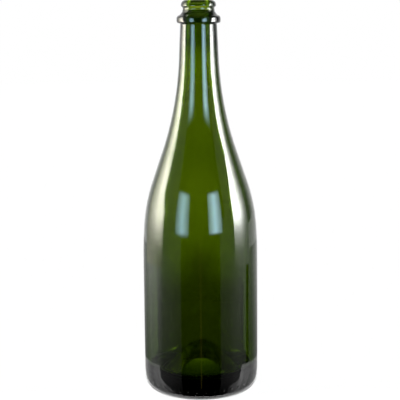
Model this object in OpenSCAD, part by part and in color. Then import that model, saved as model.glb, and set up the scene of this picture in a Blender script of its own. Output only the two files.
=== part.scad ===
// Sparkling-wine bottle, 75 cl, moulded in one piece of green glass.
// Millimetres, +Z up. The origin is the centre of the base, on the surface that it stands on.

/* [Overall size] */
// Height from the standing surface to the rim of the mouth
total_height = 300; // [270:1:380]
// Outside diameter of the straight body
body_diameter = 88.6; // [80:0.2:108]

/* [Heel and bearing ring] */
// Height at which the body starts to curve in to the heel
heel_height = 15.3; // [12:0.1:19]
// Radius of the slow upper curve of the heel
heel_radius = 28; // [22:0.5:60]
// Radius of the tight curve between the heel and the bearing ring
heel_corner_radius = 8; // [4:0.5:10]
// Width of the flat ring that the bottle stands on
bearing_width = 3.2; // [1.5:0.1:5]

/* [Heel dots] */
// Number of raised dots round the heel
dot_count = 40; // [12:1:60]
// Width of a dot
dot_width = 2.4; // [1.2:0.1:3.4]
// Height of a dot above the glass round it
dot_height = 0.35; // [0.15:0.05:0.6]
// Place of the dots on the heel's slow curve, as its slope below the horizontal
dot_angle = 14.5; // [6:0.5:17]

/* [Punt] */
// Depth of the punt above the standing surface
punt_depth = 32.5; // [26:0.5:40]
// Radius of the round top of the punt
punt_top_radius = 13.5; // [9:0.5:17]
// Radius of the edge between the bearing ring and the punt
punt_edge_radius = 13.5; // [8:0.5:17]
// Thickness of the glass over the top of the punt
punt_wall = 4; // [3:0.1:8]

/* [Shoulder] */
// Angle of the shoulder's steepest part from the vertical
shoulder_angle = 18.9; // [17:0.1:26]
// Radius of the shoulder's main outward curve
shoulder_radius = 133; // [90:1:160]
// Radius of the slow curve where the shoulder leaves the straight body
shoulder_blend_radius = 350; // [200:5:500]
// Angle that the slow curve turns through
shoulder_blend_angle = 4.4; // [2:0.1:6]

/* [Neck] */
// Outside diameter of the neck just under the collar ring
neck_diameter = 27.6; // [25:0.1:34]
// Taper of the neck's upper part, from the vertical
neck_taper = 2.5; // [1.5:0.1:5]
// Length of the neck's evenly tapered part
neck_cone_length = 24.4; // [6:0.1:45]
// Radius of the hollow curve from the neck into the shoulder
neck_curve_radius = 254; // [180:1:300]

/* [Collar ring] */
// Outside diameter of the collar ring
ring_diameter = 33.1; // [30:0.1:37]
// Height of the ring's straight edge
ring_edge_height = 2.1; // [0.5:0.1:5]
// Radius of the ring's upper edge
ring_top_radius = 2.2; // [1:0.1:3.5]
// Radius of the ring's lower edge
ring_bottom_radius = 1.5; // [0.5:0.1:2]
// Radius of the hollow corner under the ring
ring_fillet_radius = 0.9; // [0.3:0.1:1.2]

/* [Crown bead and waist] */
// Outside diameter of the bead that a crown cap grips
bead_diameter = 26.4; // [24:0.1:29]
// Outside diameter of the waist between the bead and the ring
waist_diameter = 23.7; // [21.5:0.1:25.5]
// Distance from the rim down to the waist
waist_drop = 6.5; // [5.2:0.1:9]
// Radius of the hollow corner under the bead
bead_fillet_radius = 1.5; // [1.1:0.1:2]
// Radius of the hollow curve from the waist to the ring
waist_radius = 5.6; // [4:0.1:8]

/* [Mouth and bore] */
// Diameter of the straight bore that holds the stopper
bore_diameter = 16.4; // [13:0.1:19.8]
// Depth of the straight bore below the rim
bore_length = 26; // [15:0.5:32]
// Radius of the rounded edge between the rim and the bore
mouth_radius = 0.9; // [0.3:0.1:1.2]
// Width of the flat on the rim that the closure seals on
rim_width = 0.1; // [0.05:0.05:0.5]

/* [Glass inside] */
// Thickness of the glass of the straight body
body_wall = 4.6; // [2:0.1:6]
// Thickness of the glass of the shoulder's slope
shoulder_wall = 4; // [2:0.1:5]
// Thickness of the glass of the neck, level with the end of the flare
neck_wall = 4.9; // [3:0.1:5.6]
// Height over which the straight bore flares out into the neck
flare_length = 10; // [6:0.5:16]
// Taper of the neck's inside below the flare, from the vertical
inner_taper = 6; // [3:0.1:9]
// Radius of the curve from the neck's inside into the shoulder's inside
inner_curve_radius = 300; // [240:1:320]
// Radius of the round top that the punt makes inside the bottle
inner_punt_radius = 16; // [12:0.5:20]
// Height of the lowest point of the inside
base_thickness = 14.4; // [11:0.1:17]
// Radius of the inside of the heel
inner_heel_radius = 8.5; // [7:0.5:18]
// Radius of the gutter round the foot of the punt
gutter_radius = 3; // [2:0.1:5]
// Distance from the inside of the body to the gutter's lowest point
gutter_inset = 8.8; // [7:0.1:12]

/* [Hidden] */

// largest distance between an arc and the chords that stand for it
arc_tolerance = 0.006;
revolve_steps = 128;
dot_steps = 24;

// points of an arc about [cx, cz] from one angle to another, both ends included
function arc(cx, cz, radius, from, to) =
    let (step = 2 * acos(1 - arc_tolerance / radius))
    let (count = max(2, ceil(abs(to - from) / step)))
    [for (i = [0 : count]) let (a = from + (to - from) * i / count)
        [cx + radius * cos(a), cz + radius * sin(a)]];

body_r = body_diameter / 2;
neck_r = neck_diameter / 2;
ring_r = ring_diameter / 2;
bead_r = bead_diameter / 2;
waist_r = waist_diameter / 2;
bore_r = bore_diameter / 2;
inner_r = body_r - body_wall;

// Heel: the tight curve touches the slow one from inside and the standing surface from above
heel_c = [body_r - heel_radius, heel_height];
heel_gap = heel_radius - heel_corner_radius;
heel_rise = heel_height - heel_corner_radius;
corner_c = [heel_c[0] + sqrt(heel_gap * heel_gap - heel_rise * heel_rise), heel_corner_radius];
heel_meet = atan2(corner_c[1] - heel_c[1], corner_c[0] - heel_c[0]);

// Heel dots: the cap of a ball that stands out of the slow curve by the dot's height
dot_r = (dot_width * dot_width / 4 + dot_height * dot_height) / (2 * dot_height);
dot_c = heel_c + (heel_radius + dot_height - dot_r) * [cos(dot_angle), -sin(dot_angle)];

// Punt: a flank that touches both its round top and its rounded edge
punt_edge_x = corner_c[0] - bearing_width;
punt_top_z = punt_depth - punt_top_radius;
punt_lean = atan2(punt_edge_radius - punt_top_z, punt_edge_x);
punt_reach = norm([punt_edge_x, punt_edge_radius - punt_top_z]);
punt_flank = asin((punt_top_radius + punt_edge_radius) / punt_reach) - punt_lean;

// Crown bead: its upper curve fills the rim, its lower one touches the hollow corner of the waist
bead_curve = bead_r - bore_r - mouth_radius - rim_width;
bead_z = total_height - bead_curve;
waist_z = total_height - waist_drop;
bead_fall = bead_z - waist_z;
bead_shift = waist_r + bead_fillet_radius - bead_r;
under_bead = (bead_shift * bead_shift + bead_fall * bead_fall - bead_fillet_radius * bead_fillet_radius)
    / (2 * (bead_fillet_radius - bead_shift));
bead_meet = atan2(bead_fall, bead_shift + under_bead);

// Collar ring: its upper edge touches the hollow curve of the waist
waist_c = [waist_r + waist_radius, waist_z];
ring_c_x = ring_r - ring_top_radius;
ring_touch = waist_radius + ring_top_radius;
ring_z = waist_z - sqrt(ring_touch * ring_touch - pow(waist_c[0] - ring_c_x, 2));
ring_meet = atan2(waist_z - ring_z, waist_c[0] - ring_c_x);
ring_edge_z = ring_z - ring_edge_height;
ring_under_z = ring_edge_z - ring_bottom_radius;
neck_z = ring_under_z - ring_fillet_radius * (1 + sin(neck_taper));

// Outside of the neck and shoulder, from the collar ring down to the straight body
cone_end = [neck_r + neck_cone_length * sin(neck_taper), neck_z - neck_cone_length * cos(neck_taper)];
neck_c = cone_end + neck_curve_radius * [cos(neck_taper), sin(neck_taper)];
slope_top = neck_c - neck_curve_radius * [cos(shoulder_angle), sin(shoulder_angle)];
shoulder_drop_x = shoulder_radius * (cos(shoulder_blend_angle) - cos(shoulder_angle))
    + shoulder_blend_radius * (1 - cos(shoulder_blend_angle));
shoulder_drop_z = shoulder_radius * (sin(shoulder_angle) - sin(shoulder_blend_angle))
    + shoulder_blend_radius * sin(shoulder_blend_angle);
slope_length = (body_r - shoulder_drop_x - slope_top[0]) / sin(shoulder_angle);
slope_end = slope_top + slope_length * [sin(shoulder_angle), -cos(shoulder_angle)];
shoulder_z = slope_end[1] - shoulder_drop_z;
blend_c = [body_r - shoulder_blend_radius, shoulder_z];
shoulder_c = blend_c + (shoulder_blend_radius - shoulder_radius)
    * [cos(shoulder_blend_angle), sin(shoulder_blend_angle)];

// Flare: two equal curves that turn out from the bore and back to the inner taper
flare_z = total_height - bore_length;
flare_end_z = flare_z - flare_length;
flare_end_r = neck_r + (neck_z - flare_end_z) * tan(neck_taper) - neck_wall;
flare_ratio = (flare_end_r - bore_r) / flare_length;
flare_turn = atan(flare_ratio) + acos((1 + cos(inner_taper) + flare_ratio * sin(inner_taper))
    / (2 * sqrt(1 + flare_ratio * flare_ratio)));
flare_radius = flare_length / (2 * sin(flare_turn) - sin(inner_taper));
flare_mid = [bore_r + flare_radius * (1 - cos(flare_turn)), flare_z - flare_radius * sin(flare_turn)];
flare_c = flare_mid - flare_radius * [cos(flare_turn), sin(flare_turn)];

// Inside of the shoulder: the slope's line moved in by its wall, and curves that end at the inside
// of the body
inner_shoulder_radius = shoulder_radius - body_wall;
inner_blend_radius = shoulder_blend_radius - body_wall;
inner_drop_x = inner_shoulder_radius * (cos(shoulder_blend_angle) - cos(shoulder_angle))
    + inner_blend_radius * (1 - cos(shoulder_blend_angle));
inner_slope_top = slope_top - shoulder_wall * [cos(shoulder_angle), sin(shoulder_angle)];
inner_slope_end = inner_slope_top + (inner_r - inner_drop_x - inner_slope_top[0])
    * [1, -1 / tan(shoulder_angle)];
inner_shoulder_c = inner_slope_end - inner_shoulder_radius * [cos(shoulder_angle), sin(shoulder_angle)];
inner_blend_c = inner_shoulder_c - (inner_blend_radius - inner_shoulder_radius)
    * [cos(shoulder_blend_angle), sin(shoulder_blend_angle)];

// Inside of the neck: a taper and a curve that meet the inside of the slope
inner_run = inner_slope_end[0] - flare_end_r
    - inner_curve_radius * (cos(inner_taper) - cos(shoulder_angle));
inner_fall = flare_end_z - inner_slope_end[1]
    - inner_curve_radius * (sin(shoulder_angle) - sin(inner_taper));
inner_turn = sin(shoulder_angle - inner_taper);
inner_cone_length = (inner_fall * sin(shoulder_angle) - inner_run * cos(shoulder_angle)) / inner_turn;
inner_cone_end = [flare_end_r + inner_cone_length * sin(inner_taper),
    flare_end_z - inner_cone_length * cos(inner_taper)];
inner_neck_c = inner_cone_end + inner_curve_radius * [cos(inner_taper), sin(inner_taper)];

// Gutter: touches the inside of the heel, and a flank that touches the round top over the punt
inner_punt_z = punt_depth + punt_wall - inner_punt_radius;
gutter_x = inner_r - gutter_inset;
gutter_z = base_thickness + gutter_radius;
inner_lean = atan2(gutter_z - inner_punt_z, gutter_x);
inner_reach = norm([gutter_x, gutter_z - inner_punt_z]);
inner_flank = asin((inner_punt_radius + gutter_radius) / inner_reach) - inner_lean;
inner_heel_x = inner_r - inner_heel_radius;
inner_heel_z = gutter_z + sqrt(pow(inner_heel_radius - gutter_radius, 2) - pow(gutter_x - inner_heel_x, 2));
gutter_meet = atan2(gutter_z - inner_heel_z, gutter_x - inner_heel_x);

// Half section of the outside, from the bearing ring up to the rim
outside = concat(
    arc(punt_edge_x, punt_edge_radius, punt_edge_radius, 270 - punt_flank, 270),
    arc(corner_c[0], corner_c[1], heel_corner_radius, -90, heel_meet),
    arc(heel_c[0], heel_c[1], heel_radius, heel_meet, 0),
    arc(blend_c[0], blend_c[1], shoulder_blend_radius, 0, shoulder_blend_angle),
    arc(shoulder_c[0], shoulder_c[1], shoulder_radius, shoulder_blend_angle, shoulder_angle),
    arc(neck_c[0], neck_c[1], neck_curve_radius, 180 + shoulder_angle, 180 + neck_taper),
    arc(neck_r + ring_fillet_radius * cos(neck_taper), ring_under_z - ring_fillet_radius,
        ring_fillet_radius, 180 + neck_taper, 90),
    arc(ring_r - ring_bottom_radius, ring_edge_z, ring_bottom_radius, -90, 0),
    arc(ring_c_x, ring_z, ring_top_radius, 0, ring_meet),
    arc(waist_c[0], waist_c[1], waist_radius, 180 + ring_meet, 180),
    arc(waist_r + bead_fillet_radius, waist_z, bead_fillet_radius, 180, 180 - bead_meet),
    arc(bead_r - under_bead, bead_z, under_bead, -bead_meet, 0),
    arc(bead_r - bead_curve, bead_z, bead_curve, 0, 90)
);

// Half section of the inside, from the rim down the bore to the top of the punt
inside = concat(
    arc(bore_r + mouth_radius, total_height - mouth_radius, mouth_radius, 90, 180),
    arc(bore_r + flare_radius, flare_z, flare_radius, 180, 180 + flare_turn),
    arc(flare_c[0], flare_c[1], flare_radius, flare_turn, inner_taper),
    arc(inner_neck_c[0], inner_neck_c[1], inner_curve_radius, 180 + inner_taper, 180 + shoulder_angle),
    arc(inner_shoulder_c[0], inner_shoulder_c[1], inner_shoulder_radius,
        shoulder_angle, shoulder_blend_angle),
    arc(inner_blend_c[0], inner_blend_c[1], inner_blend_radius, shoulder_blend_angle, 0),
    arc(inner_heel_x, inner_heel_z, inner_heel_radius, 0, gutter_meet),
    arc(gutter_x, gutter_z, gutter_radius, gutter_meet, -90 - inner_flank),
    arc(0, inner_punt_z, inner_punt_radius, 90 - inner_flank, 90)
);

// Half section of the underside of the punt's round top, from its centre outwards
punt_top = arc(0, punt_top_z, punt_top_radius, 90, 90 - punt_flank);

// Consecutive points closer than this are the same point
same_point = 0.0001;

function tidy(points) =
    let (count = len(points))
    [for (i = [0 : count - 1]) if (norm(points[i] - points[(i + 1) % count]) > same_point) points[i]];

// points on the axis are put exactly on it
function on_axis(points) = [for (p = points) [abs(p[0]) < same_point ? 0 : p[0], p[1]]];

// One raised dot on the heel
module heel_dot() {
    translate([dot_c[0], 0, dot_c[1]])
        sphere(r = dot_r, $fn = dot_steps);
}

// The bottle: finish, neck, shoulder, body, heel and punt are one piece of glass
module bottle() {
    color([0.22, 0.31, 0.05, 0.6])
        union() {
            rotate_extrude($fn = revolve_steps)
                polygon(on_axis(tidy(concat(outside, inside, punt_top))));
            for (i = [0 : dot_count - 1])
                rotate([0, 0, 360 * (i + 0.5) / dot_count])
                    heel_dot();
        }
}

bottle();
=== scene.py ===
import math

import bpy
import numpy as np
from mathutils import Matrix, Vector


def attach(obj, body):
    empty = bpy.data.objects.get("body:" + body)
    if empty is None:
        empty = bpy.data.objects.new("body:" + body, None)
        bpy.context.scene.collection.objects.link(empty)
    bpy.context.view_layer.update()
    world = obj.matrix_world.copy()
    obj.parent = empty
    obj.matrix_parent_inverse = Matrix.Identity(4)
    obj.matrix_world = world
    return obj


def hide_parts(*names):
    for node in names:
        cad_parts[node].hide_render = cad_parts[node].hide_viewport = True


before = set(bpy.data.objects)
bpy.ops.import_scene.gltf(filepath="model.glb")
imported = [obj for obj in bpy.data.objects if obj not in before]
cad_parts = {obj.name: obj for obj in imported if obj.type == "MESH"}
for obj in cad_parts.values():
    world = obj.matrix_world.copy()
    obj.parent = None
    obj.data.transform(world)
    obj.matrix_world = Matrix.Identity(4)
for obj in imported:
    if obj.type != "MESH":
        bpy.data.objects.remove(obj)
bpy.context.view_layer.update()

# Camera: the photograph's distance, height, tilt and roll, measured from the bottle's outline
cameraSize = {
    "distance": 0.830,
    "height": 0.300,
    "tiltDown": 10.38,
    "roll": -0.46,
    "focalPixels": 1093.7,
    "framePixels": 400,
    "sensor": 36.0,
}


def addCamera(size):
    data = bpy.data.cameras.new("camera")
    data.sensor_width = size["sensor"]
    data.lens = size["sensor"] * size["focalPixels"] / size["framePixels"]
    data.clip_end = 50.0
    camera = bpy.data.objects.new("camera", data)
    bpy.context.scene.collection.objects.link(camera)
    turn = Matrix.Rotation(math.radians(90 - size["tiltDown"]), 4, "X")
    roll = Matrix.Rotation(math.radians(size["roll"]), 4, "Z")
    place = Matrix.Translation((0, -size["distance"], size["height"]))
    camera.matrix_world = place @ turn @ roll
    bpy.context.scene.camera = camera


addCamera(cameraSize)
print("camera placed")

# The bottle's outline in millimetres, as in part.scad: each size is the real one
bottleSize = {
    "height": 300.0,
    "body": 44.3,
    "heelHeight": 15.3,
    "heelRadius": 28.0,
    "cornerRadius": 8.0,
    "bearingWidth": 3.2,
    "puntDepth": 32.5,
    "puntTop": 13.5,
    "puntEdge": 13.5,
    "puntWall": 4.0,
    "shoulderAngle": 18.9,
    "shoulderRadius": 133.0,
    "blendRadius": 350.0,
    "blendAngle": 4.4,
    "neck": 13.8,
    "neckTaper": 2.5,
    "coneLength": 24.4,
    "neckCurve": 254.0,
    "ring": 16.55,
    "ringEdge": 2.1,
    "ringTop": 2.2,
    "ringBottom": 1.5,
    "ringFillet": 0.9,
    "bead": 13.2,
    "waist": 11.85,
    "waistDrop": 6.5,
    "beadFillet": 1.5,
    "waistCurve": 5.6,
    "bore": 8.2,
    "boreLength": 26.0,
    "mouth": 0.9,
    "rim": 0.1,
    "bodyWall": 4.6,
    "shoulderWall": 4.0,
    "neckWall": 4.9,
    "flareLength": 10.0,
    "innerTaper": 6.0,
    "innerCurve": 300.0,
    "innerPunt": 16.0,
    "base": 14.4,
    "innerHeel": 8.5,
    "gutter": 3.0,
    "gutterInset": 8.8,
}


def cosd(angle):
    return math.cos(math.radians(angle))


def sind(angle):
    return math.sin(math.radians(angle))


def polar(angle):
    return np.array([cosd(angle), sind(angle)])


# An arc as points and outward normals: the glass lies on the left of the way that the outline runs
def arc(centre, radius, start, end, turnStep=5.0, longest=2.6):
    turn = abs(end - start)
    step = min(turnStep * max(1.0, 1.6 / math.sqrt(radius)), math.degrees(longest / radius))
    angle = np.radians(np.linspace(start, end, max(2, math.ceil(turn / step)) + 1))
    way = np.stack([np.cos(angle), np.sin(angle)], axis=1)
    return np.asarray(centre) + radius * way, way * np.sign(end - start)


# Joins arcs into one outline, and divides the straight parts between them into steps no longer than longest
def join(arcs, longest):
    points = [arcs[0][0]]
    normals = [arcs[0][1]]
    for place, normal in arcs[1:]:
        start, end = points[-1][-1], place[0]
        gap = np.linalg.norm(end - start)
        if gap < 1e-6:
            place, normal = place[1:], normal[1:]
        else:
            count = math.ceil(gap / longest)
            share = (np.arange(1, count) / count)[:, None]
            points.append(start + share * (end - start))
            normals.append(np.repeat(normal[:1], count - 1, axis=0))
        points.append(place)
        normals.append(normal)
    return np.concatenate(points), np.concatenate(normals)


def bottleArcs(s):
    heelC = np.array([s["body"] - s["heelRadius"], s["heelHeight"]])
    reach = s["heelRadius"] - s["cornerRadius"]
    rise = s["heelHeight"] - s["cornerRadius"]
    cornerC = np.array([heelC[0] + math.sqrt(reach**2 - rise**2), s["cornerRadius"]])
    heelMeet = math.degrees(math.atan2(cornerC[1] - heelC[1], cornerC[0] - heelC[0]))
    edgeX = cornerC[0] - s["bearingWidth"]
    topZ = s["puntDepth"] - s["puntTop"]
    lean = math.degrees(math.atan2(s["puntEdge"] - topZ, edgeX))
    span = math.hypot(edgeX, s["puntEdge"] - topZ)
    flank = math.degrees(math.asin((s["puntTop"] + s["puntEdge"]) / span)) - lean

    beadCurve = s["bead"] - s["bore"] - s["mouth"] - s["rim"]
    beadZ = s["height"] - beadCurve
    waistZ = s["height"] - s["waistDrop"]
    fall = beadZ - waistZ
    shift = s["waist"] + s["beadFillet"] - s["bead"]
    under = (shift**2 + fall**2 - s["beadFillet"]**2) / (2 * (s["beadFillet"] - shift))
    beadMeet = math.degrees(math.atan2(fall, shift + under))
    waistC = np.array([s["waist"] + s["waistCurve"], waistZ])
    ringX = s["ring"] - s["ringTop"]
    ringZ = waistZ - math.sqrt((s["waistCurve"] + s["ringTop"])**2 - (waistC[0] - ringX)**2)
    ringMeet = math.degrees(math.atan2(waistZ - ringZ, waistC[0] - ringX))
    ringEdgeZ = ringZ - s["ringEdge"]
    underZ = ringEdgeZ - s["ringBottom"]
    neckZ = underZ - s["ringFillet"] * (1 + sind(s["neckTaper"]))

    taper, slope, blend = s["neckTaper"], s["shoulderAngle"], s["blendAngle"]
    coneEnd = np.array([s["neck"] + s["coneLength"] * sind(taper), neckZ - s["coneLength"] * cosd(taper)])
    neckC = coneEnd + s["neckCurve"] * polar(taper)
    slopeTop = neckC - s["neckCurve"] * polar(slope)
    dropX = s["shoulderRadius"] * (cosd(blend) - cosd(slope)) + s["blendRadius"] * (1 - cosd(blend))
    dropZ = s["shoulderRadius"] * (sind(slope) - sind(blend)) + s["blendRadius"] * sind(blend)
    slopeLength = (s["body"] - dropX - slopeTop[0]) / sind(slope)
    slopeEnd = slopeTop + slopeLength * np.array([sind(slope), -cosd(slope)])
    blendC = np.array([s["body"] - s["blendRadius"], slopeEnd[1] - dropZ])
    shoulderC = blendC + (s["blendRadius"] - s["shoulderRadius"]) * polar(blend)

    flareZ = s["height"] - s["boreLength"]
    flareEndZ = flareZ - s["flareLength"]
    flareEndR = s["neck"] + (neckZ - flareEndZ) * math.tan(math.radians(taper)) - s["neckWall"]
    ratio = (flareEndR - s["bore"]) / s["flareLength"]
    inTaper = s["innerTaper"]
    flareTurn = math.degrees(math.atan(ratio)) + math.degrees(math.acos(
        (1 + cosd(inTaper) + ratio * sind(inTaper)) / (2 * math.sqrt(1 + ratio**2))))
    flareRadius = s["flareLength"] / (2 * sind(flareTurn) - sind(inTaper))
    flareMid = np.array([s["bore"] + flareRadius * (1 - cosd(flareTurn)), flareZ - flareRadius * sind(flareTurn)])
    flareC = flareMid - flareRadius * polar(flareTurn)

    inner = s["body"] - s["bodyWall"]
    inShoulder = s["shoulderRadius"] - s["bodyWall"]
    inBlend = s["blendRadius"] - s["bodyWall"]
    inDropX = inShoulder * (cosd(blend) - cosd(slope)) + inBlend * (1 - cosd(blend))
    inSlopeTop = slopeTop - s["shoulderWall"] * polar(slope)
    inSlopeEnd = inSlopeTop + (inner - inDropX - inSlopeTop[0]) * np.array([1, -1 / math.tan(math.radians(slope))])
    inShoulderC = inSlopeEnd - inShoulder * polar(slope)
    inBlendC = inShoulderC - (inBlend - inShoulder) * polar(blend)
    run = inSlopeEnd[0] - flareEndR - s["innerCurve"] * (cosd(inTaper) - cosd(slope))
    drop = flareEndZ - inSlopeEnd[1] - s["innerCurve"] * (sind(slope) - sind(inTaper))
    inCone = (drop * sind(slope) - run * cosd(slope)) / sind(slope - inTaper)
    inConeEnd = np.array([flareEndR + inCone * sind(inTaper), flareEndZ - inCone * cosd(inTaper)])
    inNeckC = inConeEnd + s["innerCurve"] * polar(inTaper)

    inPuntZ = s["puntDepth"] + s["puntWall"] - s["innerPunt"]
    gutterZ = s["base"] + s["gutter"]
    gutterX = inner - s["gutterInset"]
    inLean = math.degrees(math.atan2(gutterZ - inPuntZ, gutterX))
    inSpan = math.hypot(gutterX, gutterZ - inPuntZ)
    inFlank = math.degrees(math.asin((s["innerPunt"] + s["gutter"]) / inSpan)) - inLean
    inHeelX = inner - s["innerHeel"]
    inHeelZ = gutterZ + math.sqrt((s["innerHeel"] - s["gutter"])**2 - (gutterX - inHeelX)**2)
    gutterMeet = math.degrees(math.atan2(gutterZ - inHeelZ, gutterX - inHeelX))

    underside = [
        arc([0, topZ], s["puntTop"], 90, 90 - flank),
        arc([edgeX, s["puntEdge"]], s["puntEdge"], 270 - flank, 270),
        arc(cornerC, s["cornerRadius"], -90, heelMeet),
    ]
    heel = arc(heelC, s["heelRadius"], heelMeet, 0, longest=meshSize["heelStep"])
    outside = [
        arc(blendC, s["blendRadius"], 0, blend),
        arc(shoulderC, s["shoulderRadius"], blend, slope),
        arc(neckC, s["neckCurve"], 180 + slope, 180 + taper),
        arc([s["neck"] + s["ringFillet"] * cosd(taper), underZ - s["ringFillet"]], s["ringFillet"], 180 + taper, 90),
        arc([s["ring"] - s["ringBottom"], ringEdgeZ], s["ringBottom"], -90, 0),
        arc([ringX, ringZ], s["ringTop"], 0, ringMeet),
        arc(waistC, s["waistCurve"], 180 + ringMeet, 180),
        arc([s["waist"] + s["beadFillet"], waistZ], s["beadFillet"], 180, 180 - beadMeet),
        arc([s["bead"] - under, beadZ], under, -beadMeet, 0),
        arc([s["bead"] - beadCurve, beadZ], beadCurve, 0, 90),
    ]
    inside = [
        arc([s["bore"] + s["mouth"], s["height"] - s["mouth"]], s["mouth"], 90, 180),
        arc([s["bore"] + flareRadius, flareZ], flareRadius, 180, 180 + flareTurn),
        arc(flareC, flareRadius, flareTurn, inTaper),
        arc(inNeckC, s["innerCurve"], 180 + inTaper, 180 + slope),
        arc(inShoulderC, inShoulder, slope, blend),
        arc(inBlendC, inBlend, blend, 0),
        arc([inHeelX, inHeelZ], s["innerHeel"], 0, gutterMeet),
        arc([gutterX, gutterZ], s["gutter"], gutterMeet, -90 - inFlank),
        arc([0, inPuntZ], s["innerPunt"], 90 - inFlank, 90),
    ]
    return underside, heel, outside, inside


# Two upright mould seams, at these angles round the bottle, and the one round the neck under the collar ring
seamSize = {"angles": (0.4, 180.4), "height": 0.08, "width": 0.5, "low": 6.0, "high": 281.0, "fade": 0.8}
finishSeam = {"level": 280.4, "height": 0.06, "width": 0.28}
# The raised dots of the heel
dotSize = {"count": 40, "width": 2.4, "height": 0.35, "slope": 14.5, "foot": 0.4, "ease": 0.0012}
# Blown glass varies inside: each wave has its height, how many times it goes round, the angle where it starts, the
# climb that turns it by a radian, and a swing to and fro with the climb of that
innerWaves = (
    (0.16, 1, 0.6, 260, 0, 1),
    (0.10, 2, -1.1, 190, 0, 1),
    (0.045, 5, 0.4, math.inf, 0.8, 47),
    (0.03, 9, 2.0, 130, 0, 1),
    (0.012, 17, 0.0, math.inf, 1.3, 70),
    (0.008, 29, 0.5, 90, 0, 1),
)
waveReach = {"low": 12, "lowFade": 25, "high": 265, "highFade": 60}
# The front and back are thicker where the shoulder runs into the neck
swellSize = {"height": 0.55, "low": 155, "high": 258, "fade": 30}
meshSize = {
    "columns": 200,
    "seamSteps": (-2.6, -1.9, -1.3, -0.8, -0.4, 0, 0.4, 0.8, 1.3, 1.9, 2.6),
    "seamClear": 3.0,
    "heelStep": 0.36,
    "dotBand": 3.6,
    "heelThinning": 6,
    "lowStep": 2.6,
    "topStep": 5.0,
    "seedWallFrom": 24,
}


# How far the glass stands out from its turned outline, in mm, at each point and angle: seams are low rounded ridges
def outerRelief(points, turn):
    radius, level = points[:, :1], points[:, 1:]
    out = np.zeros((len(points), len(turn)))
    top = 1 / (1 + np.exp((level - seamSize["high"]) / seamSize["fade"]))
    low = 1 / (1 + np.exp((seamSize["low"] - level) / seamSize["fade"]))
    for angle in seamSize["angles"]:
        away = (turn - math.radians(angle) + math.pi) % (2 * math.pi) - math.pi
        out += seamSize["height"] * np.exp(-(radius * away / seamSize["width"])**2) * top * low
    return out + finishSeam["height"] * np.exp(-((level - finishSeam["level"]) / finishSeam["width"])**2)


def innerRelief(points, turn):
    level = points[:, 1:]
    reach = np.clip((waveReach["high"] - level) / waveReach["highFade"], 0, 1)
    reach = reach * np.clip((level - waveReach["low"]) / waveReach["lowFade"], 0, 1)
    wave = sum(height * np.cos(times * turn + start + level / climb + swing * np.sin(level / swingClimb))
               for height, times, start, climb, swing, swingClimb in innerWaves)
    swell = np.clip((level - swellSize["low"]) / swellSize["fade"], 0, 1)
    swell = swell * np.clip((swellSize["high"] - level) / swellSize["fade"], 0, 1)
    return reach * wave + swellSize["height"] * swell * (0.5 - 0.5 * np.cos(2 * turn))


# Dots are caps of balls on the heel
def dotRelief(points, turn):
    heel = bottleSize["heelRadius"]
    middle = np.array([bottleSize["body"] - heel, bottleSize["heelHeight"]])
    ball = (dotSize["width"]**2 / 4 + dotSize["height"]**2) / (2 * dotSize["height"])
    along = heel * (np.arctan2(middle[1] - points[:, 1:], points[:, :1] - middle[0]) - math.radians(dotSize["slope"]))
    pitch = 2 * math.pi / dotSize["count"]
    across = points[:, :1] * ((turn % pitch) - pitch / 2)
    far = along**2 + across**2
    cap = np.sqrt(np.maximum(ball**2 - far, 0)) - (ball - dotSize["height"])
    # the cap's foot is eased into the heel over the last part of its height
    return 0.5 * (cap + np.sqrt(cap**2 + dotSize["ease"])) * (cap > -dotSize["foot"])


# Turns an outline with its relief into places and normals
def placed(points, normals, out, turn):
    length = np.concatenate([[0], np.cumsum(np.linalg.norm(np.diff(points, axis=0), axis=1))])
    wide = np.concatenate([turn[-1:] - 2 * math.pi, turn, turn[:1] + 2 * math.pi])
    wrapped = np.concatenate([out[:, -1:], out, out[:, :1]], axis=1)
    aroundSlope = np.gradient(wrapped, wide, axis=1)[:, 1:-1] / np.maximum(points[:, :1], 0.5)
    alongSlope = np.gradient(out, length, axis=0)
    spread = points[:, :1] + normals[:, :1] * out
    height = points[:, 1:] + normals[:, 1:] * out
    x, y = np.cos(turn), np.sin(turn)
    place = np.stack([spread * x, spread * y, height + 0 * x], axis=2)
    # the outward normal tips away from the way in which the relief rises
    tipR = normals[:, :1] + alongSlope * normals[:, 1:]
    tipZ = normals[:, 1:] - alongSlope * normals[:, :1]
    facing = np.stack([tipR * x + aroundSlope * y, tipR * y - aroundSlope * x, tipZ + 0 * x], axis=2)
    facing /= np.linalg.norm(facing, axis=2, keepdims=True)
    return place.reshape(-1, 3), facing.reshape(-1, 3)


def ringFaces(first, rows, columns):
    low = first + columns * np.arange(rows - 1)[:, None] + np.arange(columns)
    nextOne = first + columns * np.arange(rows - 1)[:, None] + (np.arange(columns) + 1) % columns
    return np.stack([low, nextOne, nextOne + columns, low + columns], axis=2).reshape(-1, 4).tolist()


# Faces between a ring of columns and one that has three times as many
def stepFaces(coarse, fine, columns, fineAbove):
    here = np.arange(columns)
    there = (here + 1) % columns
    ends = [coarse + here, coarse + there]
    parts = [fine + (3 * here + k) % (3 * columns) for k in (3, 2, 1, 0)]
    faces = np.stack(ends + parts, axis=1)
    return (faces if fineAbove else faces[:, ::-1]).tolist()


def fanFaces(pole, first, columns, poleBelow):
    here = first + np.arange(columns)
    there = first + (np.arange(columns) + 1) % columns
    middle = np.full(columns, pole)
    order = [middle, there, here] if poleBelow else [middle, here, there]
    return np.stack(order, axis=1).tolist()


# Small bubbles that stay in the glass of the wall, as hollow ellipsoids that face into themselves
seedSize = {"count": 26, "low": 30.0, "high": 215.0, "smallest": 0.10, "largest": 0.24, "stretch": 1.6}


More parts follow.
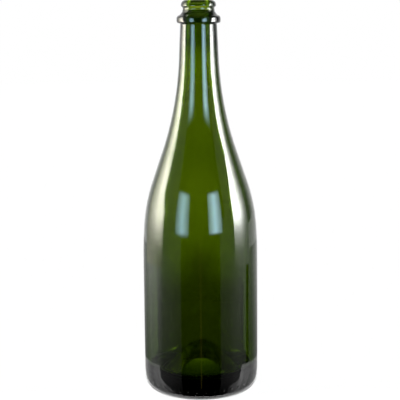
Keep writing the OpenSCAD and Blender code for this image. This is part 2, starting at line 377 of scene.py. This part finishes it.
def seeds(outR, inR):
    rng = np.random.default_rng(11)
    level = rng.uniform(seedSize["low"], seedSize["high"], seedSize["count"])
    turn = rng.uniform(0, 2 * math.pi, seedSize["count"])
    depth = rng.uniform(0.3, 0.7, seedSize["count"])
    size = rng.uniform(seedSize["smallest"], seedSize["largest"], seedSize["count"])
    radius = outR(level) * depth + inR(level) * (1 - depth)
    middle = np.stack([radius * np.cos(turn), radius * np.sin(turn), level], axis=1)
    ring = np.radians(np.arange(0, 360, 45))
    tilt = np.radians([-54, -18, 18, 54])
    ball = np.stack([np.outer(np.cos(tilt), np.cos(ring)), np.outer(np.cos(tilt), np.sin(ring)),
                     np.outer(np.sin(tilt), np.ones(8))], axis=2).reshape(-1, 3)
    ball = np.concatenate([ball, [[0, 0, -1], [0, 0, 1]]])
    faces = ringFaces(0, 4, 8) + fanFaces(32, 0, 8, True) + fanFaces(33, 24, 8, False)
    faces = [face[::-1] for face in faces]
    shape = ball[None] * size[:, None, None] * np.array([1, 1, seedSize["stretch"]])
    places = (middle[:, None] + shape).reshape(-1, 3)
    facing = np.tile(-ball, (seedSize["count"], 1))
    every = [[v + 34 * k for v in face] for k in range(seedSize["count"]) for face in faces]
    return places, facing, every


# Even angles round the bottle, with closer ones at the two seams
def columnAngles():
    even = np.arange(meshSize["columns"]) * (2 * math.pi / meshSize["columns"])
    fine = np.array(meshSize["seamSteps"]) / bottleSize["body"]
    sides = [math.radians(angle) % (2 * math.pi) for angle in seamSize["angles"]]
    extra = np.concatenate([side + fine for side in sides]) % (2 * math.pi)
    keep = np.ones(len(even), bool)
    for side in sides:
        away = np.abs((even - side + math.pi) % (2 * math.pi) - math.pi)
        keep &= away > meshSize["seamClear"] / bottleSize["body"]
    return np.sort(np.concatenate([even[keep], extra]))


def buildBottle():
    underside, heel, outside, inside = bottleArcs(bottleSize)
    turn = columnAngles()
    columns = len(turn)
    nextTurn = np.append(turn[1:], turn[0] + 2 * math.pi)
    fineTurn = (turn[:, None] + np.outer(nextTurn - turn, np.array([0, 1 / 3, 2 / 3]))).reshape(-1)

    heelPoints, heelNormals = heel
    slope = np.degrees(np.arctan2(-heelNormals[:, 1], heelNormals[:, 0]))
    band = np.abs(slope - dotSize["slope"]) < meshSize["dotBand"]
    first, last = np.flatnonzero(band)[[0, -1]]
    thin = np.ones(len(slope), bool)
    # rows away from the dots are thinned out
    every = meshSize["heelThinning"]
    thin[:first] = np.arange(first)[::-1] % every == every - 1
    thin[last + 1:] = np.arange(len(slope) - last - 1) % every == every - 1
    thin[[0, -1]] = True
    lowHeel = (heelPoints[:first][thin[:first]], heelNormals[:first][thin[:first]])
    highHeel = (heelPoints[last + 1:][thin[last + 1:]], heelNormals[last + 1:][thin[last + 1:]])

    lowPoints, lowNormals = join(underside + [lowHeel], meshSize["lowStep"])
    topPoints, topNormals = join([highHeel] + outside + inside, meshSize["topStep"])
    bandPoints, bandNormals = heelPoints[first:last + 1], heelNormals[first:last + 1]

    rim = int(np.argmax(topPoints[:, 1] > bottleSize["height"] - 1e-6))
    lowOut = outerRelief(lowPoints, turn)
    bandOut = outerRelief(bandPoints, fineTurn) + dotRelief(bandPoints, fineTurn)
    topOut = np.concatenate([outerRelief(topPoints[:rim], turn), innerRelief(topPoints[rim:], turn)])
    # the two poles lie on the axis, so their rings shrink to one point each
    low = placed(lowPoints[1:], lowNormals[1:], lowOut[1:], turn)
    bandGrid = placed(bandPoints, bandNormals, bandOut, fineTurn)
    top = placed(topPoints[:-1], topNormals[:-1], topOut[:-1], turn)

    lowRows, bandRows, topRows = len(lowPoints) - 1, len(bandPoints), len(topPoints) - 1
    bandFirst = 1 + lowRows * columns
    topFirst = bandFirst + bandRows * 3 * columns
    topPole = topFirst + topRows * columns
    faces = fanFaces(0, 1, columns, False)
    faces += ringFaces(1, lowRows, columns)
    faces += stepFaces(1 + (lowRows - 1) * columns, bandFirst, columns, True)
    faces += ringFaces(bandFirst, bandRows, 3 * columns)
    faces += stepFaces(topFirst, bandFirst + (bandRows - 1) * 3 * columns, columns, False)
    faces += ringFaces(topFirst, topRows, columns)
    faces += fanFaces(topPole, topFirst + (topRows - 1) * columns, columns, True)
    places = np.concatenate([[[0, 0, lowPoints[0, 1]]], low[0], bandGrid[0], top[0], [[0, 0, topPoints[-1, 1]]]])
    facing = np.concatenate([[[0, 0, -1]], low[1], bandGrid[1], top[1], [[0, 0, 1]]])

    outline, innerLine = topPoints[:rim], topPoints[rim:]
    climb = outline[np.argsort(outline[:, 1])]
    inClimb = innerLine[np.argsort(innerLine[:, 1])]
    wall = inClimb[inClimb[:, 1] > meshSize["seedWallFrom"]]
    seedPlaces, seedFacing, seedFaces = seeds(lambda z: np.interp(z, climb[:, 1], climb[:, 0]),
                                              lambda z: np.interp(z, wall[:, 1], wall[:, 0]))
    faces += [[v + len(places) for v in face] for face in seedFaces]
    places = np.concatenate([places, seedPlaces])
    facing = np.concatenate([facing, seedFacing])

    mesh = bpy.data.meshes.new("glassBottle")
    mesh.from_pydata((places * 0.001).tolist(), [], faces)
    mesh.polygons.foreach_set("use_smooth", np.ones(len(mesh.polygons), bool))
    mesh.update()
    mesh.normals_split_custom_set_from_vertices(facing.tolist())
    bottle = bpy.data.objects.new("glassBottle", mesh)
    bpy.context.scene.collection.objects.link(bottle)
    triangles = sum(len(face) - 2 for face in faces)
    print("glass bottle:", len(places), "points,", triangles, "triangles")
    return bottle


glassLook = {
    "ior": 1.52,
    "absorbColor": (0.6225, 0.696, 0.05),
    "density": 900.0,
    "smudge": {"scale": 38.0, "from": 0.52, "to": 0.75, "roughness": 0.045},
    "ripple": {"scale": 55.0, "stretch": 0.35, "height": 0.000012},
}


def newMaterial(name):
    material = bpy.data.materials.new(name)
    material.use_nodes = True
    material.node_tree.nodes.clear()
    return material, material.node_tree.nodes, material.node_tree.links


# The surface of blown glass: faint smudges that soften the mirror image, and long shallow ripples
def surfaceGroup(smudge, ripple):
    group = bpy.data.node_groups.new("glassSurface", "ShaderNodeTree")
    group.interface.new_socket("Place", in_out="INPUT", socket_type="NodeSocketVector")
    group.interface.new_socket("Roughness", in_out="OUTPUT", socket_type="NodeSocketFloat")
    group.interface.new_socket("Normal", in_out="OUTPUT", socket_type="NodeSocketVector")
    nodes, links = group.nodes, group.links
    start = nodes.new("NodeGroupInput")
    end = nodes.new("NodeGroupOutput")
    spots = nodes.new("ShaderNodeTexNoise")
    spots.inputs["Scale"].default_value = smudge["scale"]
    spots.inputs["Detail"].default_value = 4.0
    spread = nodes.new("ShaderNodeMapRange")
    spread.interpolation_type = "SMOOTHSTEP"
    spread.inputs["From Min"].default_value = smudge["from"]
    spread.inputs["From Max"].default_value = smudge["to"]
    spread.inputs["To Max"].default_value = smudge["roughness"]
    links.new(start.outputs["Place"], spots.inputs["Vector"])
    links.new(spots.outputs["Fac"], spread.inputs["Value"])
    links.new(spread.outputs["Result"], end.inputs["Roughness"])
    drawn = nodes.new("ShaderNodeMapping")
    drawn.inputs["Scale"].default_value = (1, 1, ripple["stretch"])
    waves = nodes.new("ShaderNodeTexNoise")
    waves.inputs["Scale"].default_value = ripple["scale"]
    waves.inputs["Detail"].default_value = 1.0
    bump = nodes.new("ShaderNodeBump")
    bump.inputs["Distance"].default_value = ripple["height"]
    links.new(start.outputs["Place"], drawn.inputs["Vector"])
    links.new(drawn.outputs["Vector"], waves.inputs["Vector"])
    links.new(waves.outputs["Fac"], bump.inputs["Height"])
    links.new(bump.outputs["Normal"], end.inputs["Normal"])
    return group


def glassMaterial(look):
    material, nodes, links = newMaterial("greenGlass")
    out = nodes.new("ShaderNodeOutputMaterial")
    shader = nodes.new("ShaderNodeBsdfPrincipled")
    shader.inputs["Base Color"].default_value = (1, 1, 1, 1)
    place = nodes.new("ShaderNodeTexCoord")
    surface = nodes.new("ShaderNodeGroup")
    surface.node_tree = surfaceGroup(look["smudge"], look["ripple"])
    links.new(place.outputs["Object"], surface.inputs["Place"])
    links.new(surface.outputs["Roughness"], shader.inputs["Roughness"])
    links.new(surface.outputs["Normal"], shader.inputs["Normal"])
    shader.inputs["IOR"].default_value = look["ior"]
    shader.inputs["Transmission Weight"].default_value = 1.0
    volume = nodes.new("ShaderNodeVolumeAbsorption")
    volume.inputs["Color"].default_value = (*look["absorbColor"], 1)
    volume.inputs["Density"].default_value = look["density"]
    links.new(shader.outputs["BSDF"], out.inputs["Surface"])
    links.new(volume.outputs["Volume"], out.inputs["Volume"])
    return material


bottle = buildBottle()
bottle.data.materials.append(glassMaterial(glassLook))
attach(bottle, "root")
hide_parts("bottle")
print("glass material set")

# The studio: a pale table, a white surround, two bright strips beside the bottle, two soft boxes in front of it,
# and what the glass mirrors of the room: dark round the camera, grey to the sides, white behind
tableSize = {
    "front": -0.0475,
    "back": 3.2,
    "side": 2.2,
    "drop": 0.03,
    "lip": 0.004,
    "nose": 0.105,
    "noseDepth": 0.025,
    "noseCurve": 0.7,
}
tableLook = {"color": 0.8, "own": 0.16}
keySize = {"strength": 5.9, "elevation": 32, "angle": 7}
ambient = 0.06


def visibleTo(thing, camera=True, diffuse=True, glossy=True, transmission=True):
    thing.visible_camera = camera
    thing.visible_diffuse = diffuse
    thing.visible_glossy = glossy
    thing.visible_transmission = transmission
    return thing


def viewMix(nodes, links):
    path = nodes.new("ShaderNodeLightPath")
    first = nodes.new("ShaderNodeMath")
    first.operation = "MAXIMUM"
    links.new(path.outputs["Is Camera Ray"], first.inputs[0])
    links.new(path.outputs["Is Glossy Ray"], first.inputs[1])
    second = nodes.new("ShaderNodeMath")
    second.operation = "MAXIMUM"
    links.new(first.outputs[0], second.inputs[0])
    links.new(path.outputs["Is Transmission Ray"], second.inputs[1])
    return second.outputs[0]


def setWorld():
    world = bpy.data.worlds.new("world")
    bpy.context.scene.world = world
    world.use_nodes = True
    nodes, links = world.node_tree.nodes, world.node_tree.links
    nodes.clear()
    out = nodes.new("ShaderNodeOutputWorld")
    seen = nodes.new("ShaderNodeBackground")
    seen.inputs["Strength"].default_value = 1.0
    seen.inputs["Color"].default_value = (1, 1, 1, 1)
    light = nodes.new("ShaderNodeBackground")
    light.inputs["Strength"].default_value = ambient
    light.inputs["Color"].default_value = (1, 1, 1, 1)
    mix = nodes.new("ShaderNodeMixShader")
    links.new(viewMix(nodes, links), mix.inputs[0])
    links.new(light.outputs[0], mix.inputs[1])
    links.new(seen.outputs[0], mix.inputs[2])
    links.new(mix.outputs[0], out.inputs["Surface"])


def tableMaterial(look):
    material, nodes, links = newMaterial("paleTable")
    out = nodes.new("ShaderNodeOutputMaterial")
    paint = nodes.new("ShaderNodeBsdfDiffuse")
    paint.inputs["Color"].default_value = (look["color"],) * 3 + (1,)
    glow = nodes.new("ShaderNodeEmission")
    scale = nodes.new("ShaderNodeMath")
    scale.operation = "MULTIPLY"
    scale.inputs[1].default_value = look["own"]
    links.new(viewMix(nodes, links), scale.inputs[0])
    links.new(scale.outputs[0], glow.inputs["Strength"])
    both = nodes.new("ShaderNodeAddShader")
    links.new(paint.outputs[0], both.inputs[0])
    links.new(glow.outputs[0], both.inputs[1])
    links.new(both.outputs[0], out.inputs["Surface"])
    return material


def gridFaces(rows, columns):
    corner = (np.arange(rows - 1)[:, None] * columns + np.arange(columns - 1)).reshape(-1)
    return np.stack([corner, corner + 1, corner + 1 + columns, corner + columns], axis=1).tolist()


def stagePiece(name, places, faces, material):
    mesh = bpy.data.meshes.new(name)
    mesh.from_pydata(places.tolist(), [], faces)
    mesh.update()
    mesh.materials.append(material)
    piece = bpy.data.objects.new(name, mesh)
    bpy.context.scene.collection.objects.link(piece)
    return piece


# The table's front edge runs close before the bottle, draws back to both sides, and is rounded down
def frontEdge(x):
    away = np.minimum(np.abs(x) / tableSize["nose"], 1)
    return tableSize["front"] + tableSize["noseDepth"] * away**tableSize["noseCurve"]


def addTable(size):
    x = np.concatenate([[-size["side"]], np.linspace(-size["nose"], size["nose"], 43), [size["side"]]])
    angle = np.radians(np.linspace(90, 180, 7))
    alongY = np.concatenate([[0], size["lip"] * (1 + np.cos(angle)), [0]])
    alongZ = np.concatenate([[0], size["lip"] * (np.sin(angle) - 1), [-size["drop"]]])
    y = frontEdge(x) + alongY[:, None]
    y[0] = size["back"]
    places = np.stack([x + 0 * y, y, alongZ[:, None] + 0 * y], axis=2).reshape(-1, 3)
    return stagePiece("table", places, gridFaces(len(alongY), len(x)), tableMaterial(tableLook))


# "steep" dims the light for rays that meet the surface steeply, as a shiny table does
def glowMaterial(name, color, steep):
    material, nodes, links = newMaterial(name)
    out = nodes.new("ShaderNodeOutputMaterial")
    glow = nodes.new("ShaderNodeEmission")
    glow.inputs["Color"].default_value = (*color, 1)
    strength = nodes.new("ShaderNodeAttribute")
    strength.attribute_name = "glow"
    if steep is None:
        links.new(strength.outputs["Fac"], glow.inputs["Strength"])
    else:
        weight = nodes.new("ShaderNodeLayerWeight")
        weight.inputs["Blend"].default_value = 0.5
        dim = nodes.new("ShaderNodeMapRange")
        dim.inputs["From Min"].default_value = steep["from"]
        dim.inputs["From Max"].default_value = steep["to"]
        dim.inputs["To Min"].default_value = steep["least"]
        both = nodes.new("ShaderNodeMath")
        both.operation = "MULTIPLY"
        links.new(weight.outputs["Facing"], dim.inputs["Value"])
        links.new(dim.outputs["Result"], both.inputs[0])
        links.new(strength.outputs["Fac"], both.inputs[1])
        links.new(both.outputs[0], glow.inputs["Strength"])
    links.new(glow.outputs[0], out.inputs["Surface"])
    material.cycles.emission_sampling = "NONE"
    return material


def setGlow(piece, glow):
    strength = piece.data.attributes.new("glow", "FLOAT", "POINT")
    strength.data.foreach_set("value", np.ascontiguousarray(glow, dtype=np.float32).reshape(-1))


# A surface whose light differs from point to point
def addGlow(name, x, y, z, glow, color, transmission, steep=None):
    places = np.stack([x, y, z], axis=2).reshape(-1, 3)
    panel = stagePiece(name, places, gridFaces(*x.shape), glowMaterial(name, color, steep))
    setGlow(panel, glow)
    panel.visible_shadow = False
    return visibleTo(panel, camera=False, diffuse=False, transmission=transmission)


# A panel round the bottle: azimuth is 0 on the camera's side and grows to the right
def addPanel(name, azimuth, distance, height, glow, color, transmission):
    azimuth, distance, height, glow = np.broadcast_arrays(azimuth, distance, height, glow)
    turn = np.radians(azimuth)
    addGlow(name, distance * np.sin(turn), -distance * np.cos(turn), height, glow, color, transmission)


def smooth(value, low, high):
    share = np.clip((value - low) / (high - low), 0, 1)
    return share * share * (3 - 2 * share)


def addSun(size):
    data = bpy.data.lights.new("keyLight", "SUN")
    data.energy = size["strength"]
    data.angle = math.radians(size["angle"])
    lamp = bpy.data.objects.new("keyLight", data)
    bpy.context.scene.collection.objects.link(lamp)
    way = Vector((0, cosd(size["elevation"]), -sind(size["elevation"])))
    lamp.matrix_world = way.to_track_quat("-Z", "Y").to_matrix().to_4x4()
    return lamp


setWorld()
addTable(tableSize)
visibleTo(addSun(keySize), camera=False, glossy=False, transmission=False)

# What the glass mirrors of the room, on a large ball: brightness against azimuth for the left and the right.
# The dark part round the camera is wider higher up, and the ceiling is dark
roomSize = {
    "distance": 1.6,
    "dark": 38.5,
    "darkAbove": 52,
    "left": ((0, 66, 80, 84, 132, 138, 150, 180), (0.22, 0.26, 0.36, 0.5, 1.0, 0.85, 1.0, 1.0)),
    "right": ((0, 62, 69, 106, 114, 121, 126, 132, 138, 145, 180),
              (0.22, 0.24, 0.3, 0.5, 0.3, 0.15, 0.3, 0.5, 0.8, 1.0, 1.0)),
    "below": 0.16,
    "ceiling": 0.04,
}


def addRoom(size):
    azimuth = np.linspace(-180, 180, 361)[None, :]
    tilt = np.linspace(-90, 90, 91)[:, None]
    left = np.interp(-azimuth, *size["left"])
    right = np.interp(azimuth, *size["right"])
    level = np.where(azimuth < 0, left, right)
    edge = size["dark"] + (size["darkAbove"] - size["dark"]) * smooth(tilt, 4, 14)
    away = np.abs(azimuth)
    below = size["below"] * (1 - smooth(tilt, -24, -14)) * (away < 120)
    glow = np.where((tilt < -14) & (away < 120), below + level * smooth(tilt, -24, -14), level)
    glow = glow * smooth(away, edge - 0.5, edge + 0.5)
    high = smooth(tilt, 35, 50)
    glow = glow * (1 - high) + size["ceiling"] * high
    turn = np.radians(tilt)
    addPanel("room", azimuth, size["distance"] * np.cos(turn), size["distance"] * np.sin(turn), glow, (1, 1, 1), False)


# What the glass mirrors of the table: a painted reflection, a glowing sheet seen only in the glass's mirror image. A
# point of it is given by the way in which the wall of the bottle mirrors it to the camera: its azimuth, and how far it
# lies from the wall. It is dark in front, brighter towards the strips and less bright near the bottle, and round the
# bottle lies a brighter patch of painted light with its front cut off
sheenSize = {
    "height": 0.0004,
    "left": ((0, 39, 40, 54, 62, 73, 80, 85, 90, 96, 106, 120, 130, 140, 160, 180),
             (0, 0, 0.17, 0.24, 0.31, 0.35, 0.44, 0.6, 0.95, 1.24, 1.3, 1.1, 0.75, 0.45, 0.5, 0.9)),
    "right": ((0, 39, 40, 60, 75, 86, 92, 98, 103.5, 104.5, 111, 112, 115, 120, 126, 137, 160, 180),
              (0, 0, 0.17, 0.27, 0.46, 0.66, 0.6, 0.54, 0.5, 0, 0, 0.24, 0.32, 0.3, 0.32, 0.5, 0.7, 0.9)),
    "frontReach": ((0.03, 0.086, 0.142, 0.204, 0.274, 0.355, 0.46), (0.6, 0.66, 0.78, 0.9, 0.97, 1.0, 1.05)),
    "sideReach": ((0.03, 0.086, 0.142, 0.204, 0.274, 0.355, 0.46), (0.36, 0.42, 0.51, 0.65, 0.8, 1.0, 1.25)),
    # The next three give the brighter patch of painted light round the bottle: its reach from the wall, its front edge
    # and its light against azimuth
    "litPatch": 0.0735,
    "steep": {"from": 0.12, "to": 0.7, "least": 0.12},
    "litPatchFront": {"left": -0.0045, "right": -0.0105},
    "litPatchGlow": ((60, 80, 86, 91, 94, 97, 103, 110, 118, 145, 180),
                  (0.9, 1.4, 2.1, 1.9, 1.6, 1.35, 1.25, 1.1, 0.7, 0.65, 0.6)),
}


def addSheen(size):
    azimuth = np.linspace(-180, 180, 361)[None, :]
    distance = np.concatenate([np.linspace(0.0, 0.09, 61), np.linspace(0.1, 0.6, 48)])[:, None]
    level = np.where(azimuth < 0, np.interp(-azimuth, *size["left"]), np.interp(azimuth, *size["right"]))
    away = np.abs(azimuth)
    side = smooth(away, 72, 90)
    reach = np.interp(distance, *size["frontReach"]) * (1 - side) + np.interp(distance, *size["sideReach"]) * side
    turn = np.radians(azimuth)
    wall = 0.001 * bottleSize["body"]
    x = wall * np.sin(turn / 2) + distance * np.sin(turn)
    y = -wall * np.cos(turn / 2) - distance * np.cos(turn)
    # the brighter patch of painted light round the bottle, cut off at the front
    front = frontEdge(x) + np.where(x < 0, size["litPatchFront"]["left"], size["litPatchFront"]["right"])
    litPatch = smooth(y, front, front + 0.002) * (1 - smooth(distance, size["litPatch"] - 0.002, size["litPatch"] + 0.001))
    litPatch = litPatch * smooth(away, 56, 66)
    glow = level * reach * (1 - litPatch) + np.interp(away, *size["litPatchGlow"]) * litPatch
    addGlow("tableSheen", x, y, size["height"] + 0 * x, glow, (1, 1, 1), False, size["steep"])


# A bright strip: "near" is its edge towards the camera at each height, "across" its light from that edge to the far
# one, "up" its light against height, and "foot" the light between it and the table, which goes on as the sheen does.
# Its foot isn't seen through the glass
leftStrip = {
    "side": -1, "distance": 0.45, "far": 132, "peak": 15, "color": (1.0, 0.96, 0.83),
    "near": ((0.19, 0.27), (76.5, 86)),
    "across": ((0, 0.05, 0.1, 0.28, 0.37, 0.46, 0.57, 0.7, 0.82, 1),
               (0.3, 0.55, 1, 1, 0.85, 0.6, 0.42, 0.22, 0.1, 0.02)),
    "up": ((0.004, 0.03, 0.045, 0.055, 0.076, 0.1, 0.13, 0.16, 0.29, 0.33, 0.5, 0.6),
           (0, 0.03, 0.07, 0.13, 0.3, 0.5, 0.72, 0.95, 1, 0.5, 0.3, 0)),
    "foot": ((76, 90, 96, 106, 120, 132), (0.55, 1.2, 1.45, 1.55, 1.35, 0.85)),
}
rightStrip = {
    "side": 1, "distance": 0.45, "far": 110, "peak": 24, "color": (1.0, 1.0, 1.0),
    "near": ((0.22, 0.27, 0.318, 0.34), (69, 69.5, 74.4, 82)),
    "across": ((0, 0.08, 0.45, 0.6, 0.75, 0.9, 1), (0.5, 1, 0.9, 0.5, 0.2, 0.05, 0.02)),
    "up": ((0.004, 0.03, 0.045, 0.055, 0.076, 0.1, 0.13, 0.16, 0.32, 0.36, 0.5, 0.6),
           (0, 0.01, 0.03, 0.06, 0.15, 0.3, 0.6, 1, 1, 0.5, 0.3, 0)),
    "foot": ((69, 86, 98, 110), (0.6, 0.95, 0.7, 0.6)),
}


def addStrip(name, size):
    across = np.linspace(0, 1, 31)[None, :]
    for part, low, high, rows, through in (("Foot", 0.0, 0.09, 25, False), ("", 0.09, 0.6, 70, True)):
        height = np.linspace(low, high, rows)[:, None]
        near = np.interp(height, *size["near"])
        azimuth = near + (size["far"] - near) * across
        glow = size["peak"] * np.interp(across, *size["across"]) * np.interp(height, *size["up"])
        glow = glow + np.interp(azimuth, *size["foot"])
        addPanel(name + part, size["side"] * azimuth, size["distance"], height, glow, size["color"], through)


# A soft box in front: brighter in its middle, with soft edges
def addSoftBox(name, low, high, bottom, top, distance, peak, color):
    height = np.linspace(bottom, top, 41)[:, None]
    azimuth = np.linspace(low, high, 31)[None, :]
    across = (azimuth - low) / (high - low)
    shape = 0.3 + 0.7 * np.exp(-((across - 0.5) / 0.26)**2)
    sides = smooth(across, 0, 0.1) * (1 - smooth(across, 0.9, 1))
    ends = smooth(height, bottom, bottom + 0.02) * (1 - smooth(height, top - 0.04, top))
    addPanel(name, azimuth, distance, height, peak * shape * sides * ends, color, True)


# A warm gap between the dark cloths round the camera, mirrored as a thin line down the middle of the body: it comes
# over the table towards the bottle and stands up behind
gapSize = {"near": 0.012, "far": 0.455, "top": 0.12, "wide": 1.5, "glow": 0.27, "color": (1.0, 0.88, 0.12)}


def addGap(size):
    distance = np.concatenate([np.linspace(size["near"], size["far"], 30), [size["far"]] * 12])[:, None]
    height = np.concatenate([[0.0006] * 30, np.linspace(0.01, size["top"], 12)])[:, None]
    across = np.array([-1, -0.6, 0, 0.6, 1])[None, :]
    turn = np.radians(size["wide"] * across)
    wall = 0.001 * bottleSize["body"]
    x = wall * np.sin(turn / 2) + distance * np.sin(turn)
    y = -wall - distance + 0 * turn
    glow = size["glow"] * (np.abs(across) < 0.9) + 0 * x
    addGlow("warmGap", x, y, height + 0 * x, glow, size["color"], False)


addRoom(roomSize)
addSheen(sheenSize)
addGap(gapSize)
addStrip("leftStrip", leftStrip)
addStrip("rightStrip", rightStrip)
addSoftBox("leftBox", -51, -21, 0.088, 0.378, 0.5, 10, (0.49, 0.77, 1.0))
addSoftBox("rightBox", 15, 45, 0.098, 0.385, 0.5, 13, (0.51, 0.78, 1.0))


# A grey card close behind the lower body, hidden by the bottle: it keeps the glass dark there, as in the photograph
# The card is painted shade: a dark sheet, seen only through the glass, that stands in for the shadow on the table
# behind the bottle
shadeCardSize = {
    "half": 0.0445,
    "place": 0.0475,
    "grey": 0.2,
    "cover": ((0.055, 0.061, 0.066, 0.072, 0.078, 0.083, 0.09, 0.098, 0.11),
              (1, 0.94, 0.86, 0.72, 0.54, 0.4, 0.22, 0.1, 0)),
}


def shadeCardMaterial(grey):
    material, nodes, links = newMaterial("paintedShadeCard")
    out = nodes.new("ShaderNodeOutputMaterial")
    card = nodes.new("ShaderNodeEmission")
    card.inputs["Color"].default_value = (grey, grey, grey, 1)
    clear = nodes.new("ShaderNodeBsdfTransparent")
    mix = nodes.new("ShaderNodeMixShader")
    cover = nodes.new("ShaderNodeAttribute")
    cover.attribute_name = "glow"
    links.new(cover.outputs["Fac"], mix.inputs[0])
    links.new(clear.outputs[0], mix.inputs[1])
    links.new(card.outputs[0], mix.inputs[2])
    links.new(mix.outputs[0], out.inputs["Surface"])
    material.cycles.emission_sampling = "NONE"
    return material


def addShadeCard(size):
    height = np.linspace(0.001, size["cover"][0][-1], 60)[:, None]
    x = np.linspace(-size["half"], size["half"], 15)[None, :]
    cover = np.interp(height, *size["cover"]) + 0 * x
    places = np.stack([x + 0 * height, size["place"] + 0 * cover, height + 0 * x], axis=2).reshape(-1, 3)
    card = stagePiece("paintedShadeCard", places, gridFaces(*cover.shape), shadeCardMaterial(size["grey"]))
    setGlow(card, cover)
    visibleTo(card, camera=False, diffuse=False, glossy=False)
    card.visible_shadow = False


# What the glass of the base shows of the table under the punt: a little light that falls off to the front
puntSize = {"radius": 0.031, "height": 0.0002, "back": 0.8, "front": 0.0}


def addPuntGlow(size):
    turn = np.radians(np.linspace(0, 360, 49))[None, :]
    radius = np.linspace(0, size["radius"], 13)[:, None]
    y = -radius * np.cos(turn)
    glow = size["front"] + (size["back"] - size["front"]) * (0.5 + 0.5 * y / size["radius"])
    disc = addGlow("puntGlow", radius * np.sin(turn), y, size["height"] + 0 * y, glow, (1, 1, 1), True)
    disc.visible_glossy = False


addShadeCard(shadeCardSize)
addPuntGlow(puntSize)
bpy.context.scene.view_settings.view_transform = "Standard"
print("studio set")
